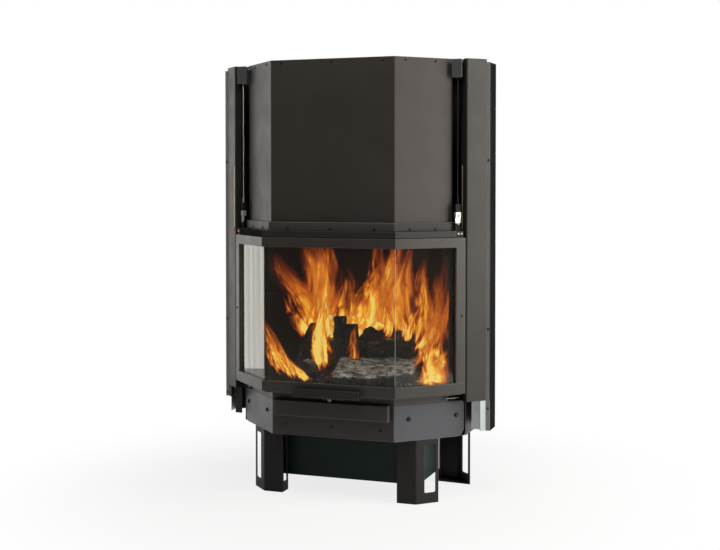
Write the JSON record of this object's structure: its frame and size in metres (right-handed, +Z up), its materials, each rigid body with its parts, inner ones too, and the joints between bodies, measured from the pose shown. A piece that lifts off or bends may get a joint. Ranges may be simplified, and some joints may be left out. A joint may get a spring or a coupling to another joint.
{
  "type": "fireplace insert",
  "caption": "Three-sided fireplace insert on legs with a glass lift door on cables and counterweights, hood, plinth with ash drawer, and lined firebox.",
  "frame": {"origin": "on the floor under the middle of the whole object's box", "axes": "+Z up, -Y out of the front pane, +X to the right of a person who faces the fire"},
  "size_m": [1.034, 0.592, 1.56],
  "materials": {
    "heat_paint": "satin heat-proof black paint",
    "air_box_paint": "dark green-black sheet",
    "firebox_steel": "matt sooty steel",
    "galvanised": "galvanised sheet",
    "zinc": "zinc-plated",
    "cable_steel": "stranded steel",
    "knob_chrome": "polished",
    "ceramic_glass": "clear ceramic glass",
    "vermiculite": "sooty vermiculite board",
    "cast_iron": "as cast",
    "weight_iron": "bare cut bar",
    "pad_brass": "dull"
  },
  "bodies": {
    "root": {"air_box": "air_box_paint", "back_panel": "galvanised", "base_deck": "heat_paint", "base_floor": "heat_paint", "base_front_plate": "heat_paint", "base_rear": "heat_paint", "base_side_left": "heat_paint", "base_side_right": "heat_paint", "cable_fronts": "cable_steel", "cable_rear_left": "cable_steel", "cable_rear_right": "cable_steel", "cable_tops": "cable_steel", "casing_side_left": "heat_paint", "casing_side_right": "heat_paint", "door_sill": "heat_paint", "drawer_runners": "heat_paint", "fire_grate": "cast_iron", "firebox_shell": "firebox_steel", "flue_collar": "firebox_steel", "hearth_plate": "cast_iron", "hood_panel": "heat_paint", "hood_strip": "heat_paint", "leg_front_left": "heat_paint", "leg_front_right": "heat_paint", "leg_rear_left": "heat_paint", "leg_rear_right": "heat_paint", "liner_left": "heat_paint", "liner_right": "galvanised", "lining_back": "vermiculite", "lining_left": "vermiculite", "lining_right": "vermiculite", "pulley_bracket_left": "heat_paint", "pulley_bracket_right": "heat_paint", "rear_chamfer_left": "galvanised", "rear_chamfer_right": "galvanised", "smoke_baffle": "vermiculite", "smoke_dome": "firebox_steel", "top_plate": "galvanised", "wing_left": "heat_paint", "wing_right": "heat_paint"},
    "door": {"door_top_rail": "heat_paint", "door_bottom_rail": "heat_paint", "door_stile_left": "heat_paint", "door_stile_right": "heat_paint", "glass_front": "ceramic_glass", "glass_left": "ceramic_glass", "glass_right": "ceramic_glass", "door_handle": "heat_paint", "door_carrier": "heat_paint", "cable_hanger_left": "zinc", "cable_hanger_right": "zinc", "slider_pads": "pad_brass"},
    "weight_left": {"counterweight_left": "weight_iron"},
    "weight_right": {"counterweight_right": "weight_iron"},
    "pulley_front_left": {"pulley_front_left": "zinc"},
    "pulley_front_right": {"pulley_front_right": "zinc"},
    "pulley_rear_left": {"pulley_rear_left": "zinc"},
    "pulley_rear_right": {"pulley_rear_right": "zinc"},
    "ash_drawer": {"ash_drawer": "heat_paint"},
    "air_control": {"air_control": "knob_chrome"}
  },
  "joints": [
    {"name": "door_lift", "type": "slide", "parent": "root", "child": "door", "axis": [0, 0, 1], "range_m": [0, 0.43], "deforming": ["cable_fronts"]},
    {"name": "weight_left_drop", "type": "slide", "parent": "root", "child": "weight_left", "axis": [0, 0, -1], "range_m": [0, 0.43], "deforming": ["cable_rear_left"]},
    {"name": "pulley_front_left_turn", "type": "hinge", "parent": "root", "child": "pulley_front_left", "pos_m": [-0.41305, -0.05161, 1.518], "axis": [-1, 0, 0], "range_deg": [0, 1130]},
    {"name": "pulley_rear_left_turn", "type": "hinge", "parent": "root", "child": "pulley_rear_left", "pos_m": [-0.41305, 0.06939, 1.518], "axis": [-1, 0, 0], "range_deg": [0, 1130]},
    {"name": "weight_right_drop", "type": "slide", "parent": "root", "child": "weight_right", "axis": [0, 0, -1], "range_m": [0, 0.43], "deforming": ["cable_rear_right"]},
    {"name": "pulley_front_right_turn", "type": "hinge", "parent": "root", "child": "pulley_front_right", "pos_m": [0.41305, -0.05161, 1.518], "axis": [-1, 0, 0], "range_deg": [0, 1130]},
    {"name": "pulley_rear_right_turn", "type": "hinge", "parent": "root", "child": "pulley_rear_right", "pos_m": [0.41305, 0.06939, 1.518], "axis": [-1, 0, 0], "range_deg": [0, 1130]},
    {"name": "ash_drawer_slide", "type": "slide", "parent": "root", "child": "ash_drawer", "axis": [0, -1, 0], "range_m": [0, 0.28]},
    {"name": "air_control_slide", "type": "slide", "parent": "root", "child": "air_control", "axis": [1, 0, 0], "range_m": [-0.035, 0.035]}
  ],
  "couplings": [
    {"joint": "weight_left_drop", "follows": "door_lift", "ratio": 1},
    {"joint": "pulley_front_left_turn", "follows": "door_lift", "rad_per_m": 45.455},
    {"joint": "pulley_rear_left_turn", "follows": "door_lift", "rad_per_m": 45.455},
    {"joint": "weight_right_drop", "follows": "door_lift", "ratio": 1},
    {"joint": "pulley_front_right_turn", "follows": "door_lift", "rad_per_m": 45.455},
    {"joint": "pulley_rear_right_turn", "follows": "door_lift", "rad_per_m": 45.455}
  ]
}
